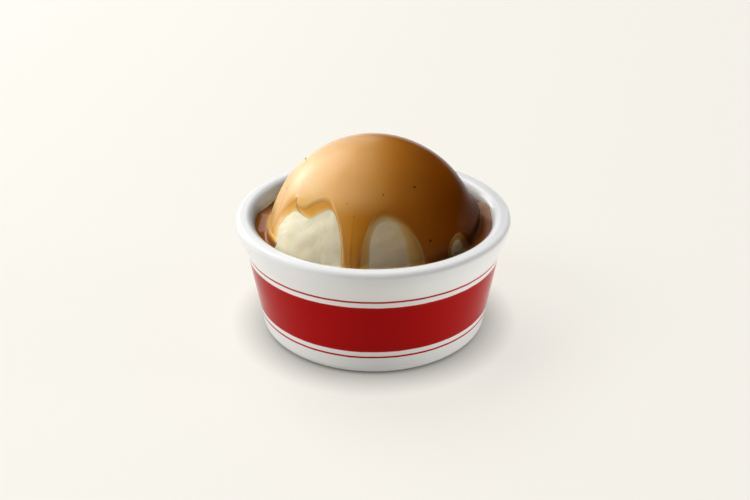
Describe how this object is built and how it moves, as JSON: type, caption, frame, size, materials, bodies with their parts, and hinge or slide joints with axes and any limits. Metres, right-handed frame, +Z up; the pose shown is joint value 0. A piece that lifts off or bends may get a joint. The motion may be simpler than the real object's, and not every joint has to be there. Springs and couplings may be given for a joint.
{
  "type": "mashed potato side",
  "caption": "Side dish of mashed potato: a round scoop in a small round porcelain ramekin, coated in glossy brown gravy that runs down in drips and stands in the moat round the scoop.",
  "frame": {"origin": "centre of the ramekin's foot, on the table", "axes": "+Z up through the middle of the scoop; -Y is the front, the side with the two widest bare patches in the gravy"},
  "size_m": [0.09, 0.09, 0.0644],
  "materials": {
    "glazed_porcelain": "white glossy glaze with a red glaze band",
    "mashed_potato": "smooth, moist and slightly translucent",
    "gravy": "glossy, amber where it is thin and dark brown where it is deep",
    "pepper": "coarse ground black specks"
  },
  "bodies": {
    "root": {"ramekin": "glazed_porcelain", "mash": "mashed_potato", "gravy_coat": "gravy", "gravy_pool": "gravy"}
  },
  "joints": []
}
